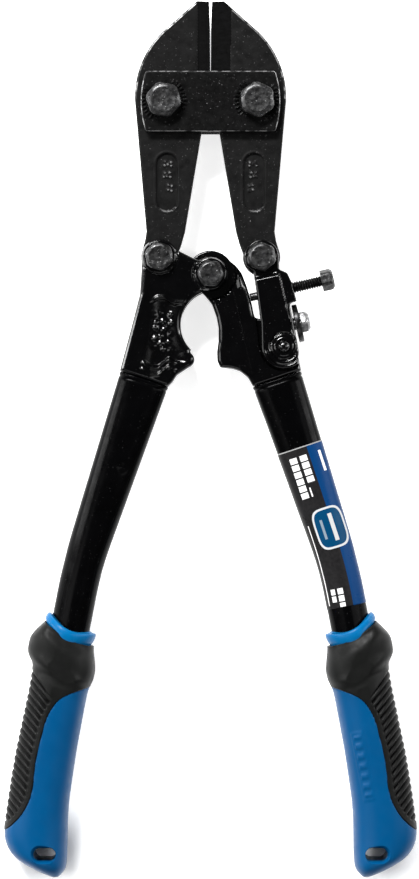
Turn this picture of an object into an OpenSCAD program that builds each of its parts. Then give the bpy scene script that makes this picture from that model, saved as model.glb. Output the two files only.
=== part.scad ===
// Bolt cutters lying on their back. Millimetres, +Z out of the front face, +Y towards the jaws.
// The origin is under the middle of the outline, on the surface the tool lies on.

/* [Jaws] */
// Sideways distance of each jaw bolt from the centre line
jaw_bolt_x = 18.6; // [18.2:0.1:19]
// Height of the jaw bolts above the middle of the tool
jaw_bolt_y = 134.9; // [134.4:0.1:135.4]
// Top of the jaw tips above the middle of the tool
tip_y = 174.8; // [173.8:0.1:175.6]
// Thickness of the forged jaws
jaw_t = 8; // [7.6:0.1:8.4]
// Angle each jaw stands open at rest
rest_open = 0.4; // [0.3:0.05:0.6]
// Width of the ground bevel on the left jaw
bevel_left = 5; // [4:0.5:6]
// Width of the ground bevel on the right jaw
bevel_right = 8; // [7:0.5:9]
// Thickness left at the cutting edges
edge_t = 2; // [1.6:0.1:2.4]
// Depth of the long pressed recess in each jaw arm
recess_depth = 1; // [0.6:0.1:1.4]

/* [Strap plates] */
// Half width of the strap plates at the middle of their bowed ends
strap_half = 27.8; // [27.4:0.1:28.2]
// Height of the strap plates
strap_h = 24.2; // [23.6:0.1:24.8]
// How far the ends of the strap plates bow out
strap_bow = 2; // [1.5:0.1:2.5]
// Thickness of the strap plates and of the left head's plates
plate_t = 4; // [3.8:0.1:4.1]

/* [Pivots] */
// Sideways distance of each jaw to handle pivot from the centre line
pivot_x = 20.4; // [20.2:0.1:20.6]
// Height of the jaw to handle pivots
pivot_y = 72.6; // [72.4:0.1:72.8]
// Height of the centre pivot between the two handles
centre_y = 65.8; // [65.6:0.1:66]
// Radius of the centre bolt's shank
centre_pin_r = 3; // [2.8:0.1:3.2]
// Radius of the eye in the right head, with room for the blade adjustment
eye_r = 4.8; // [4.6:0.1:4.9]
// Radius of the two jaw to handle bolts
pivot_pin_r = 3; // [2.8:0.1:3.2]
// Radius of the two jaw bolts
jaw_pin_r = 4; // [3.8:0.1:4.2]
// Running clearance round every hinge pin
pin_gap = 0.05; // [0.03:0.01:0.08]

/* [Blade adjustment] */
// Position of the rivet that joins link and right head
rivet_x = 29.2; // [29:0.1:29.4]
// Height of that rivet
rivet_y = 36.8; // [36.6:0.1:37]
// Tilt of the adjusting screw and of the lock bolt
screw_tilt = 12.9; // [12.6:0.1:13.2]
// Radius of the adjusting screw
screw_r = 2.5; // [2.4:0.1:2.6]
// Radius of the lock washer
washer_r = 7.6; // [7:0.1:7.8]

/* [Handles] */
// Width of the flattened top end of each tube
tube_top_w = 20.2; // [19.8:0.1:20.6]
// Depth of the flattened top end of each tube
tube_top_d = 15; // [14.6:0.1:15.4]
// Diameter of the round lower end of each tube
tube_d = 15.8; // [15.4:0.1:16]
// Wall thickness of the tubes
tube_wall = 1.5; // [1.2:0.1:1.8]
// Lean of the lower part of each handle
lower_lean = 11; // [10.8:0.1:11.2]
// Depth of the grips from back to front
grip_d = 26; // [25.6:0.1:26.4]
// Length of the hang slot in each grip
slot_l = 8.8; // [8.4:0.1:9.2]
// Width of the hang slot in each grip
slot_w = 5.2; // [4.8:0.1:5.4]

/* [Hidden] */
mid = 13;
gap = 0.1;
jaw_lo = mid - jaw_t / 2;
jaw_hi = mid + jaw_t / 2;
plate_lo = jaw_lo - gap - plate_t;
plate_hi = jaw_hi + gap;
front = plate_hi + plate_t;
link_t = 3;
link_raise = 1.2;
boss_h = 0.6;
jaw_boss_r = 7.4;
joint_gap = 0.1;
slice_t = 0.02;
steps = 14;
tube_top = [26.5, 24];
tube_bend = [51.2, -50.3];
upper_lean = atan((tube_bend[0] - tube_top[0]) / (tube_top[1] - tube_bend[1]));
lower_len = 108;
slot_at = [66, -165.2];
screw_tip = [16.75, 56.8];
lock_at = [33.3, 45.9];
black = [0.05, 0.05, 0.055];
steel = [0.45, 0.46, 0.47];
blue = [0, 0.4, 0.68];

// Points along an arc
function arc(c, r, from, to, n) =
    [for (i = [0:n]) c + r * [cos(from + (to - from) * i / n), sin(from + (to - from) * i / n)]];

// Sideways place of a cutting edge at a height
function edge_x(y) = pin_gap / 2 + tan(rest_open) * (y - jaw_bolt_y);

// Puts a thing on the left by turning it over, or leaves it on the right
module side(left) {
    mirror([left ? 1 : 0, 0, 0]) children();
}

module slab(lo, hi) {
    translate([0, 0, lo]) linear_extrude(height = hi - lo) children();
}

module rod(at, r, lo, hi) {
    translate([at[0], at[1], lo]) cylinder(r = r, h = hi - lo, $fn = 48);
}

// Hex prism with a chamfered outer face, standing on z = 0
module hex_head(af, h) {
    intersection() {
        cylinder(d = af / cos(30), h = h, $fn = 6);
        cylinder(r1 = af / 2 - 1 + h, r2 = af / 2 - 1, h = h, $fn = 48);
    }
}

module bolt(at, pin_r, af, head_h, seat, turn) {
    color(steel) {
        translate([at[0], at[1], seat]) rotate(turn) hex_head(af, head_h);
        rod(at, pin_r, 0.6, seat);
    }
}

module nut(at, pin_r, af, foot) {
    color(steel) difference() {
        translate([at[0], at[1], plate_lo]) mirror([0, 0, 1]) hex_head(af, plate_lo - foot);
        rod(at, pin_r + 0.02, -1, plate_lo + 1);
    }
}

// Jaw, drawn on the right. The long outer curve is one arc of radius bow.
module jaw_plan() {
    bow = 36;
    hub = [30.2 - bow, jaw_bolt_y + 1.7];
    polygon(concat(
        [[edge_x(tip_y) + 0.3, tip_y], [5.4, tip_y]],
        arc(hub, bow, 48.6, -3, steps),
        [[25.6, 82.8], [26.2, 79]],
        arc([pivot_x, pivot_y], jaw_boss_r, 20, -190, 2 * steps),
        [[11.7, 77.5], [10.2, 82.8], [7, 102], [3.8, 121.2], [edge_x(139), 139]],
        [[edge_x(tip_y - 8), tip_y - 8]]));
}

module jaw(bevel) {
    cut = (jaw_t - edge_t) / 2;
    color([0.27, 0.27, 0.27]) difference() {
        slab(jaw_lo, jaw_hi) jaw_plan();
        // ground bevels on the front and the back of the cutting edge
        for (flip = [-1, 1])
            translate([0, jaw_bolt_y + 5, mid]) mirror([0, 0, flip < 0 ? 1 : 0])
                rotate([90, 0, 180]) mirror([1, 0, 0]) linear_extrude(height = 60)
                    polygon([[-1, edge_t / 2], [0, edge_t / 2], [bevel, edge_t / 2 + cut],
                             [bevel, jaw_t], [-1, jaw_t]]);
        // long recess with round ends
        for (y = [95, 109.8]) rod([17.4, y], 4.3, jaw_hi - recess_depth, jaw_hi + 1);
        translate([13.1, 95, jaw_hi - recess_depth]) cube([8.6, 14.8, 2]);
        rod([jaw_bolt_x, jaw_bolt_y], jaw_pin_r + pin_gap, 0, 30);
        rod([pivot_x, pivot_y], pivot_pin_r + pin_gap, 0, 30);
    }
}

module jaw_left() { side(true) jaw(bevel_left); }
module jaw_right() { side(false) jaw(bevel_right); }

module strap(lo) {
    half = strap_h / 2;
    r = (strap_bow * strap_bow + half * half) / (2 * strap_bow);
    sweep = asin(half / r);
    c = strap_half - r;
    color([0.12, 0.12, 0.12]) difference() {
        translate([0, jaw_bolt_y - 0.4, 0]) slab(lo, lo + plate_t)
            polygon(concat(arc([c, 0], r, -sweep, sweep, steps),
                           arc([-c, 0], r, 180 - sweep, 180 + sweep, steps)));
        for (s = [-1, 1]) rod([s * jaw_bolt_x, jaw_bolt_y], jaw_pin_r + 0.02, lo - 1, lo + plate_t + 1);
    }
}

module strap_front() { strap(plate_hi); }
module strap_back() { strap(plate_lo); }

module jaw_bolt_left() { bolt([-jaw_bolt_x, jaw_bolt_y], jaw_pin_r, 13, 5.3, front, 18); }
module jaw_bolt_right() { bolt([jaw_bolt_x, jaw_bolt_y], jaw_pin_r, 13, 5.3, front, 5); }
module jaw_nut_left() { nut([-jaw_bolt_x, jaw_bolt_y], jaw_pin_r, 13, 0); }
module jaw_nut_right() { nut([jaw_bolt_x, jaw_bolt_y], jaw_pin_r, 13, 0); }

// Left head, in its own place on the left. The finger arch is one arc.
module left_head_plan() {
    polygon(concat(
        [[-27.4, 72.6], [-28.2, 57.6], [-31.6, 44.4], [-36.2, 27.2], [-17, 20.8], [-15.2, 22.6]],
        [[-13.4, 25.4]],
        arc([-9.6, 31.6], 3.2, -80, 70, 8),
        arc([1.9, 45.5], 13.8, 226, 111, steps),
        [[0, 60], [0, 70], [-5.4, 71], [-10.6, 74.2], [-16, 76]]));
    translate([-pivot_x, pivot_y]) circle(r = 7.2, $fn = 48);
    translate([0, centre_y]) circle(r = 7, $fn = 48);
}

module left_plate(lo) {
    difference() {
        slab(lo, lo + plate_t) left_head_plan();
        rod([-pivot_x, pivot_y], pivot_pin_r + 0.02, lo - 1, lo + plate_t + 1);
        rod([0, centre_y], centre_pin_r + 0.02, lo - 1, lo + plate_t + 1);
    }
}

module left_head_front() {
    color(black) {
        difference() {
            union() {
                left_plate(plate_hi);
                for (p = [[-pivot_x, pivot_y, 7.2, pivot_pin_r], [0, centre_y, 7, centre_pin_r]])
                    difference() {
                        rod(p, p[2] - 0.4, front, front + boss_h);
                        rod(p, p[3] + 0.02, front - 1, front + 1);
                    }
            }
            // pressed panel with a wavy top edge
            slab(front - 1, front + 1)
                polygon(concat([for (i = [0:8]) [-25.2 + i * 1.5, 54.6 - 1.4 * sin(i * 30 - 60)]],
                               [[-14.6, 49], [-14.8, 38], [-17, 30.6], [-22, 27.4], [-27, 31.6]]));
        }
    }
}

module left_head_back() { color(black) left_plate(plate_lo); }

// Block between the two plates, with a tang that goes down into the tube
module left_head_core() {
    color(black) {
        difference() {
            slab(plate_lo + plate_t, plate_hi) intersection() {
                left_head_plan();
                polygon([[-40, 62], [-12, 62], [-11, 50], [0, 40], [0, 10], [-40, 10]]);
            }
            rod([-pivot_x, pivot_y], 8.2, 0, 30);
            rod([0, centre_y], 10.4, 0, 30);
        }
        side(true) tang();
    }
}

module tang() {
    translate([tube_top[0], tube_top[1], mid]) rotate([0, 0, upper_lean])
        translate([-6, -22, -4]) cube([12, 24, 8]);
}

module pivot_bolt_left() { bolt([-pivot_x, pivot_y], pivot_pin_r, 10.6, 4, front + boss_h, 12); }
module pivot_nut_left() { nut([-pivot_x, pivot_y], pivot_pin_r, 10, 0.5); }
module centre_bolt() { bolt([0, centre_y], centre_pin_r, 10, 4, front + boss_h, 25); }
module centre_nut() { nut([0, centre_y], centre_pin_r, 10, 0.5); }

// Right head: a forging with a thin eye behind the left head and a thick body
module right_body_plan() {
    polygon(concat(
        [[-9, 64.5], [-2.2, 57.2], [0.6, 53.6], [2.4, 48.6], [3.2, 44.4], [3.2, 39]],
        [[2.6, 34.8], [2.7, 31], [3.9, 28.4], [8.6, 28], [11.8, 27], [15, 24.4], [17, 20.8]],
        [[36.2, 27.2], [35.4, 31], [34.6, 36], [33.2, 39.2], [29.6, 40.4], [29, 49], [27.6, 51]],
        [[19.6, 50], [17, 50.8], [16.4, 54], [15.4, 57.6], [14.4, 61], [12.6, 65.8]],
        [[8, 69.5], [0, 74]]));
    translate([0, centre_y]) circle(r = 9.4, $fn = 64);
}

module right_head() {
    color(black) {
        difference() {
            union() {
                slab(jaw_lo, jaw_hi) right_body_plan();
                // thick body clear of the eye
                difference() {
                    slab(plate_lo + 0.9, front - 0.9) right_body_plan();
                    rod([0, centre_y], 9.8, 0, 30);
                    slab(0, 30) polygon([[-12, 56.8], [-12, 80], [6, 80], [6, 56.8]]);
                    // pockets for the link's walls
                    for (z = [[0, jaw_lo], [jaw_hi, 30]]) {
                        rod([rivet_x, rivet_y], 9.4, z[0], z[1]);
                        slab(z[0], z[1]) polygon([[16.9, 60], [19.5, 36.8], [38, 36.8], [40, 60]]);
                    }
                }
            }
            rod([0, centre_y], eye_r, 0, 30);
            rod([rivet_x, rivet_y], pivot_pin_r + pin_gap, 0, 30);
            // hole the lock bolt screws into
            along_screw(lock_at) translate([0, 0, -12]) cylinder(r = screw_r + 0.05, h = 14, $fn = 48);
        }
        tang();
    }
}

// Stands z up along the adjusting screw's direction
module along_screw(at) {
    translate([at[0], at[1], mid]) rotate([0, 0, screw_tilt]) rotate([0, 90, 0]) children();
}

// Channel over the right jaw's end: two walls and a web on the right
module link_plan() {
    polygon(concat(
        [[20.4, 69], [13.9, 70.2], [17.6, 57], [19.6, 46], [20.4, 36.8]],
        arc([rivet_x, rivet_y], 8.8, 180, 305, steps),
        [[35.2, 34.6], [34.6, 38.4], [31.8, 52.8], [31.7, 54.3], [34.4, 54.9], [32.4, 62.4]],
        [[30.6, 66.2], [27, 67.2]]));
    translate([pivot_x, pivot_y]) circle(r = 6.8, $fn = 48);
}

module adjusting_link() {
    color(black) difference() {
        union() {
            slab(jaw_hi + gap, jaw_hi + gap + link_t) link_plan();
            slab(jaw_lo - gap - link_t, jaw_lo - gap) link_plan();
            // raised body below the step line
            slab(jaw_hi + gap + link_t - 1, jaw_hi + gap + link_t + link_raise) intersection() {
                link_plan();
                polygon([[12, 64.2], [26.6, 66.6], [27.6, 58], [30.6, 46], [32, 30], [18, 34]]);
            }
            // web that carries the adjusting screw
            slab(jaw_lo - gap - 1, jaw_hi + gap + 1)
                polygon([[28.8, 66], [30.6, 66.2], [32.4, 62.4], [34.4, 54.9], [31.7, 54.3], [31.8, 52.8],
                         [34.2, 41.2], [31, 41.2], [29.8, 51], [30.2, 56], [28.8, 61]]);
        }
        for (p = [[pivot_x, pivot_y], [rivet_x, rivet_y]]) rod(p, pivot_pin_r + 0.02, 0, 30);
        along_screw(screw_tip) translate([0, 0, -3]) cylinder(r = screw_r + 0.05, h = 24, $fn = 48);
        // slotted passage for the lock bolt
        along_screw(lock_at) translate([0, 0, -6]) cylinder(r = screw_r + 0.6, h = 10, $fn = 48);
    }
}

module pivot_bolt_right() {
    bolt([pivot_x, pivot_y], pivot_pin_r, 10.6, 4, jaw_hi + gap + link_t, 8);
}
module pivot_nut_right() {
    color(steel) difference() {
        translate([pivot_x, pivot_y, jaw_lo - gap - link_t]) mirror([0, 0, 1]) hex_head(10, 5.2);
        rod([pivot_x, pivot_y], pivot_pin_r + 0.02, 0, 9);
    }
}

module link_rivet() {
    top = jaw_hi + gap + link_t + link_raise;
    color([0.2, 0.2, 0.21]) {
        rod([rivet_x, rivet_y], pivot_pin_r, jaw_lo - gap - link_t - 1, top);
        translate([rivet_x, rivet_y, top]) cylinder(r1 = 4.2, r2 = 3, h = 1.2, $fn = 48);
        translate([rivet_x, rivet_y, jaw_lo - gap - link_t - 1.2]) cylinder(r1 = 3, r2 = 4.2, h = 1.2, $fn = 48);
    }
}

module adjusting_screw() {
    color(steel) along_screw(screw_tip) {
        cylinder(r = screw_r, h = 28.4, $fn = 48);
        translate([0, 0, 28.3]) hex_head(8, 5);
    }
}

module lock_bolt() {
    color(steel) along_screw(lock_at) {
        translate([0, 0, -11.5]) cylinder(r = screw_r, h = 14.3, $fn = 48);
        translate([0, 0, 2.75]) hex_head(8, 3.6);
    }
}

module lock_washer() {
    color(steel) along_screw(lock_at) translate([0, 0, 0.7]) difference() {
        cylinder(r = washer_r, h = 2, $fn = 64);
        translate([0, 0, -1]) cylinder(r = screw_r + 0.02, h = 4, $fn = 48);
    }
}

// Stands z down along the lower stretch of the right handle
module down_lower() {
    translate([tube_bend[0], tube_bend[1], mid]) rotate([0, 0, lower_lean]) rotate([90, 0, 0]) children();
}

// Thin slice across a tube: two circles side by side, or one on the other
module tube_slice(at, lean, spread, r) {
    translate([at[0], at[1], mid]) rotate([0, 0, lean]) rotate([90, 0, 0])
        for (s = [-1, 1]) translate([s * spread, 0, 0]) cylinder(r = r, h = slice_t, $fn = 32);
}

// Solid outline of the handle tube, shrunk by a wall thickness
module tube_solid(wall, ends) {
    round_r = tube_d / 2 - wall;
    hull() {
        tube_slice(tube_top + (ends - joint_gap) * [-sin(upper_lean), cos(upper_lean)], upper_lean,
                   (tube_top_w - tube_top_d) / 2, tube_top_d / 2 - wall);
        tube_slice(tube_bend, (upper_lean + lower_lean) / 2, 0, round_r);
    }
    hull() {
        tube_slice(tube_bend, (upper_lean + lower_lean) / 2, 0, round_r);
        tube_slice(tube_bend + (lower_len + ends) * [sin(lower_lean), -cos(lower_lean)],
                   lower_lean, 0, round_r);
    }
}

module tube() {
    difference() {
        tube_solid(0, 0);
        tube_solid(tube_wall, 1);
    }
}

module tube_left() { color(black) side(true) tube(); }
module tube_right() { color(black) tube(); }

// Printed film on the front of the right tube, past the bend
module tube_label() {
    color([0.1, 0.1, 0.12]) intersection() {
        difference() {
            tube_solid(-0.2, 0);
            tube_solid(-0.02, 0);
        }
        slab(mid - 1, 2 * mid) polygon([[25.6, -8], [48.4, -0.4], [70, -60], [66, -64], [44.4, -68.2], [36, -50]]);
    }
}

// Plan of the whole grip on the right side
module grip_plan() {
    polygon([[62.6, -69.2], [66.2, -72.8], [70.6, -76.8], [72.4, -79.2], [72.6, -82.4], [71.4, -88.4],
             [71.4, -93.2], [72.8, -101], [77.8, -124.4], [81.4, -146.8], [82.6, -155.6], [82.4, -160],
             [80.8, -164.4], [77.4, -168], [70.4, -171.8], [65.2, -174.4], [62.8, -174.8],
             [60.4, -174.4], [57.6, -172.8], [57.2, -163.6], [57, -152], [55.2, -135.6],
             [53.5, -124.4], [49.4, -102], [48.4, -99.2], [46.6, -96], [46, -92.4], [46.4, -88.4],
             [47, -84.4], [46.4, -80], [47.4, -76.8], [49.8, -78.2], [56.2, -75.6], [60.2, -72.8]]);
}

// Plan of the slanted collar, a little oversize at its two ends
module collar_zone() {
    polygon([[61.4, -60], [80, -60], [66.6, -72.4], [64.2, -76], [60.2, -79.2], [56.2, -82],
             [52.2, -83.6], [40, -85], [40, -60]]);
}

// Plan of the part of the grip that the black cover takes
module cover_zone() {
    polygon([[90, -60], [90, -157.2], [84, -157.2], [79.8, -154.8], [75, -149.8], [71.4, -143.4],
             [70.2, -137.6], [69.4, -128.4], [67, -118.4], [65, -110.8], [61.4, -104.8],
             [57.8, -101.4], [49, -99.2], [40, -98.4], [40, -60]]);
}

module grip_bar() {
    intersection() {
        slab(0, 2 * mid) grip_plan();
        union() {
            for (x = [-2.6, 2.6])
                down_lower() translate([x, 0, 10]) cylinder(r = grip_d / 2 + 0.6, h = 124, $fn = 48);
            down_lower() translate([-2.6, -grip_d / 2, 10]) cube([5.2, grip_d, 124]);
        }
        slab(mid - grip_d / 2, mid + grip_d / 2) square(400, center = true);
    }
}

module sleeve(r) {
    down_lower() translate([0, 0, 4]) cylinder(r = r, h = 108, $fn = 48);
}

module grip_core() {
    difference() {
        grip_bar();
        difference() {
            slab(-1, 2 * mid + 1) cover_zone();
            sleeve(9.4);
        }
        slab(-1, 2 * mid + 1) collar_zone();
        down_lower() cylinder(r = tube_d / 2 + 0.02, h = lower_len + 0.5, $fn = 48);
        for (s = [-1, 1]) rod(slot_at + [s * (slot_l - slot_w) / 2, 0], slot_w / 2, -1, 30);
        translate([slot_at[0] - (slot_l - slot_w) / 2, slot_at[1] - slot_w / 2, -1])
            cube([slot_l - slot_w, slot_w, 30]);
    }
}

module grip_cover() {
    difference() {
        intersection() {
            grip_bar();
            slab(-1, 2 * mid + 1) cover_zone();
        }
        slab(-1, 2 * mid + 1) collar_zone();
        sleeve(9.4);
    }
}

module grip_collar() {
    difference() {
        intersection() {
            slab(1, 2 * mid - 1) intersection() {
                grip_plan();
                collar_zone();
            }
            down_lower() cylinder(r = 11, h = 60, $fn = 48);
        }
        down_lower() cylinder(r = tube_d / 2 + 0.02, h = 60, $fn = 48);
    }
}

module grip_core_left() { color(blue) side(true) grip_core(); }
module grip_core_right() { color(blue) grip_core(); }
module grip_cover_left() { color([0.06, 0.06, 0.06]) side(true) grip_cover(); }
module grip_cover_right() { color([0.06, 0.06, 0.06]) grip_cover(); }
module grip_collar_left() { color([0, 0.5, 0.85]) side(true) grip_collar(); }
module grip_collar_right() { color([0, 0.5, 0.85]) grip_collar(); }

jaw_left();
jaw_right();
strap_front();
strap_back();
jaw_bolt_left();
jaw_bolt_right();
jaw_nut_left();
jaw_nut_right();
left_head_front();
left_head_back();
left_head_core();
pivot_bolt_left();
pivot_nut_left();
centre_bolt();
centre_nut();
right_head();
adjusting_link();
pivot_bolt_right();
pivot_nut_right();
link_rivet();
adjusting_screw();
lock_bolt();
lock_washer();
tube_left();
tube_right();
grip_core_left();
grip_core_right();
grip_cover_left();
grip_cover_right();
grip_collar_left();
grip_collar_right();
tube_label();
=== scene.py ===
"""Bolt cutters, seen from straight above as they lie on a pale floor.

Plan coordinates are (x, y) in millimetres, with y towards the jaws, and become metres when a mesh is made.
Most outlines are drawn for the right side (x > 0) and mirrored for the left.
"""

import math

import bmesh
import bpy
import numpy as np
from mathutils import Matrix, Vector, geometry


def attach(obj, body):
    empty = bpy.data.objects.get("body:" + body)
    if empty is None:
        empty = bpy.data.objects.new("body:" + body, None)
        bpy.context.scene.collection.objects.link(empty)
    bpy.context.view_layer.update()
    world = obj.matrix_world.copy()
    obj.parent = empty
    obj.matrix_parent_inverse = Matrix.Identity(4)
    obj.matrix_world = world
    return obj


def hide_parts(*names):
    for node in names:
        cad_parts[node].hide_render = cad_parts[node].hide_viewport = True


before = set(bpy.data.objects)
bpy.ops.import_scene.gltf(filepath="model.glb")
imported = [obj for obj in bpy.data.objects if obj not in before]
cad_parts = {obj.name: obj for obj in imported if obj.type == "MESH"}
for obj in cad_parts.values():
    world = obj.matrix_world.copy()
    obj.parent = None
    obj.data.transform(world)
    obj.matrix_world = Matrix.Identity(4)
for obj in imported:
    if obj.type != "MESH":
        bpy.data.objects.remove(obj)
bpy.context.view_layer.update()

MM = 0.001
MID = 13.0            # height of the tool's middle plane
PLATE_TOP = 21.1      # front of the strap and of the left head
PLATE = 4.0           # thickness of the strap and of the left head's plates
BOLT_SEAT = 21.7      # raised seats of the left pivot bolt and the centre bolt
JAW_HALF = 4.0        # half the thickness of the jaws and of the right head's eye
HEAD_HALF = 7.2       # half the thickness of the right head's body
LINK_FRONT = 20.1     # front and back of the adjusting link
LINK_BACK = 5.9
LINK_WALL = 3.0
JAW_BOLT = np.array([18.6, 134.9])
PIVOT = np.array([20.4, 72.6])
CENTRE = np.array([0.0, 65.8])
RIVET = np.array([29.2, 36.8])
TUBE_TOP = np.array([26.5, 24.0])
TUBE_BEND = np.array([51.2, -50.3])
LOWER_LEAN = math.radians(11)
SLOT = np.array([66.0, -165.2])
RNG = np.random.default_rng(11)


# ---------------------------------------------------------------- shapes in the plane

def smooth(low, high, x):
    """0 below low, 1 above high, eased between."""
    t = np.clip((x - low) / (high - low), 0, 1)
    return t * t * (3 - 2 * t)


def bump(x, width):
    """1 at zero, falling off to both sides."""
    return np.exp(-((x / width) ** 2))


def arc(centre, radius, start, end, n=16):
    """Points of an arc between two angles in degrees."""
    turns = [math.radians(start + (end - start) * i / n) for i in range(n + 1)]
    return [(centre[0] + radius * math.cos(turn), centre[1] + radius * math.sin(turn)) for turn in turns]


def away_from(x, y, a, b=None):
    """Distance from a point, or from the segment a to b."""
    if b is None:
        return np.hypot(x - a[0], y - a[1])
    dx, dy = b[0] - a[0], b[1] - a[1]
    t = np.clip(((x - a[0]) * dx + (y - a[1]) * dy) / (dx * dx + dy * dy), 0, 1)
    return np.hypot(x - a[0] - t * dx, y - a[1] - t * dy)


def resample(points, step, soften):
    """Closed outline with even steps, its corners eased by a few rounds of averaging."""
    p = np.array(points, float)
    area = np.sum(p[:, 0] * np.roll(p[:, 1], -1) - np.roll(p[:, 0], -1) * p[:, 1])
    if area < 0:
        p = p[::-1]
    out = []
    for a, b in zip(p, np.roll(p, -1, axis=0)):
        n = max(1, round(float(np.hypot(*(b - a))) / step))
        out += [a + (b - a) * i / n for i in range(n)]
    out = np.array(out)
    for _ in range(soften):
        out = 0.5 * out + 0.25 * (np.roll(out, 1, axis=0) + np.roll(out, -1, axis=0))
    return out


def edge_distance(loop, p):
    """Distance of each point in p from the closed outline."""
    a, b = loop, np.roll(loop, -1, axis=0)
    d = b - a
    best = np.full(len(p), 1e9)
    for i in range(len(a)):
        t = np.clip(((p - a[i]) @ d[i]) / max(d[i] @ d[i], 1e-12), 0, 1)
        best = np.minimum(best, np.hypot(*(p - a[i] - t[:, None] * d[i]).T))
    return best


def inside(loop, p):
    """True for the points in p that lie inside the closed outline."""
    a, b = loop, np.roll(loop, -1, axis=0)
    hit = np.zeros(len(p), bool)
    for (ax, ay), (bx, by) in zip(a, b):
        if ay == by:
            continue
        crosses = (ay > p[:, 1]) != (by > p[:, 1])
        hit ^= crosses & (p[:, 0] < (bx - ax) * (p[:, 1] - ay) / (by - ay) + ax)
    return hit


def grid_points(box, step):
    """Points of a triangular grid over a box."""
    x0, y0, x1, y1 = box
    rows = np.arange(y0, y1, step * 0.87)
    shift = (0, step / 2)
    return np.array([(x + shift[i % 2], y) for i, y in enumerate(rows) for x in np.arange(x0, x1, step)])


# ---------------------------------------------------------------- pieces

def solid(verts, faces):
    """Mesh being edited, in metres, with its faces turned outwards."""
    bm = bmesh.new()
    made = [bm.verts.new((x * MM, y * MM, z * MM)) for x, y, z in verts]
    for f in faces:
        bm.faces.new([made[i] for i in f])
    bmesh.ops.recalc_face_normals(bm, faces=bm.faces)
    return bm


def place_object(name, bm):
    """Object in the scene from a mesh being edited."""
    mesh = bpy.data.meshes.new(name)
    bm.to_mesh(mesh)
    bm.free()
    obj = bpy.data.objects.new(name, mesh)
    bpy.context.collection.objects.link(obj)
    return obj


def shade(mesh, sharp):
    """Smooth shading, except at edges sharper than the given angle in degrees."""
    for polygon in mesh.polygons:
        polygon.use_smooth = True
    mesh.set_sharp_from_angle(angle=math.radians(sharp))


def piece(name, verts, faces, material, body, stands_for=(), sharp=40, uv=None):
    """Visible piece from points and faces, riding on a body and standing for some CAD nodes."""
    bm = solid(verts, faces)
    if uv is not None:
        layer = bm.loops.layers.uv.new("print")
        bm.verts.index_update()
        for f in bm.faces:
            for loop in f.loops:
                loop[layer].uv = uv[loop.vert.index]
    return finish_piece(name, bm, material, body, stands_for, sharp)


def finish_piece(name, bm, material, body, stands_for, sharp):
    obj = place_object(name, bm)
    shade(obj.data, sharp)
    obj.data.materials.append(material)
    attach(obj, body)
    if stands_for:
        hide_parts(*stands_for)
    return obj


EDGE_RINGS = (0.08, 0.2, 0.36, 0.56, 0.8, 1.1, 1.5, 2.0)
EDGE_BAND = 2.2


def relief(name, outline, top, bottom, material, body, stands_for=(), step=0.8, fine=(), soften=3,
           left=False, sharp=40, number_of=None, extra=()):
    """Solid with the given outline. top and bottom give its heights from x, y and the distance to the edge.

    fine lists boxes (x0, y0, x1, y1, step) with a closer grid. number_of gives each triangle the number of
    its material, counting from material and then the extra ones."""
    loop = resample(outline, step * 0.8, soften)
    tangent = np.roll(loop, -1, axis=0) - np.roll(loop, 1, axis=0)
    tangent /= np.hypot(*tangent.T)[:, None]
    normal = np.stack([-tangent[:, 1], tangent[:, 0]], axis=1)
    rings = []
    for inset in EDGE_RINGS:
        ring = loop + normal * inset
        rings.append(ring[(edge_distance(loop, ring) > inset * 0.93) & inside(loop, ring)])
    grid = grid_points((*loop.min(axis=0), *loop.max(axis=0)), step)
    keep = np.ones(len(grid), bool)
    boxes = []
    for x0, y0, x1, y1, small in fine:
        keep &= ~((grid[:, 0] > x0) & (grid[:, 0] < x1) & (grid[:, 1] > y0) & (grid[:, 1] < y1))
        boxes.append(grid_points((x0, y0, x1, y1), small))
    middle, border = [], []
    for cloud in boxes + [grid[keep]]:
        cloud = cloud[inside(loop, cloud)]
        away = edge_distance(loop, cloud)
        middle.append(cloud[away > EDGE_BAND])
        border.append(cloud[(away > 0.6) & (away <= EDGE_BAND)])
    border.pop()    # only the fine boxes reach into the band along the edge
    points = np.concatenate([loop] + rings + middle + border)
    n = len(loop)
    flat, _, tris, *_ = geometry.delaunay_2d_cdt([Vector(p) for p in points],
                                                 [(i, (i + 1) % n) for i in range(n)], [], 1, 1e-5)
    flat = np.array([(v.x, v.y) for v in flat])
    d = edge_distance(loop, flat)
    d[d < 1e-4] = 0
    count, verts = len(flat), []
    for height in (top, bottom):
        verts += [(x, y, z) for (x, y), z in zip(flat, height(flat[:, 0], flat[:, 1], d))]
    faces = [tuple(t) for t in tris] + [tuple(i + count for i in reversed(t)) for t in tris]
    edges = {(i, j) for t in tris for i, j in zip(t, t[1:] + t[:1])}
    for t in tris:
        for i, j in zip(t, t[1:] + t[:1]):
            if (j, i) not in edges:
                faces.append((j, i, i + count, j + count))
    if left:
        verts = [(-x, y, z) for x, y, z in verts]
    obj = piece(name, verts, faces, material, body, stands_for, sharp)
    if number_of:
        t = np.array(tris)
        number = number_of(flat[t, 0].mean(axis=1), flat[t, 1].mean(axis=1), d[t].mean(axis=1)).astype(int)
        for item in extra:
            obj.data.materials.append(item)
        for i, k in enumerate(number):
            obj.data.polygons[i].material_index = int(k)
            obj.data.polygons[i + len(t)].material_index = int(k)
    return obj


def mirrored(side, p):
    """Point drawn for the right side, put on the given side."""
    return (-p[0], p[1], p[2]) if side == "left" else p


def level(z):
    """Flat side of a relief."""
    return lambda x, y, d: np.full_like(x, z)


def rounded(d, r):
    """How far a surface drops at distance d from an edge rounded with radius r."""
    inner = r - np.minimum(d, r)
    return r - np.sqrt(np.maximum(r * r - inner * inner, 0))


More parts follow.
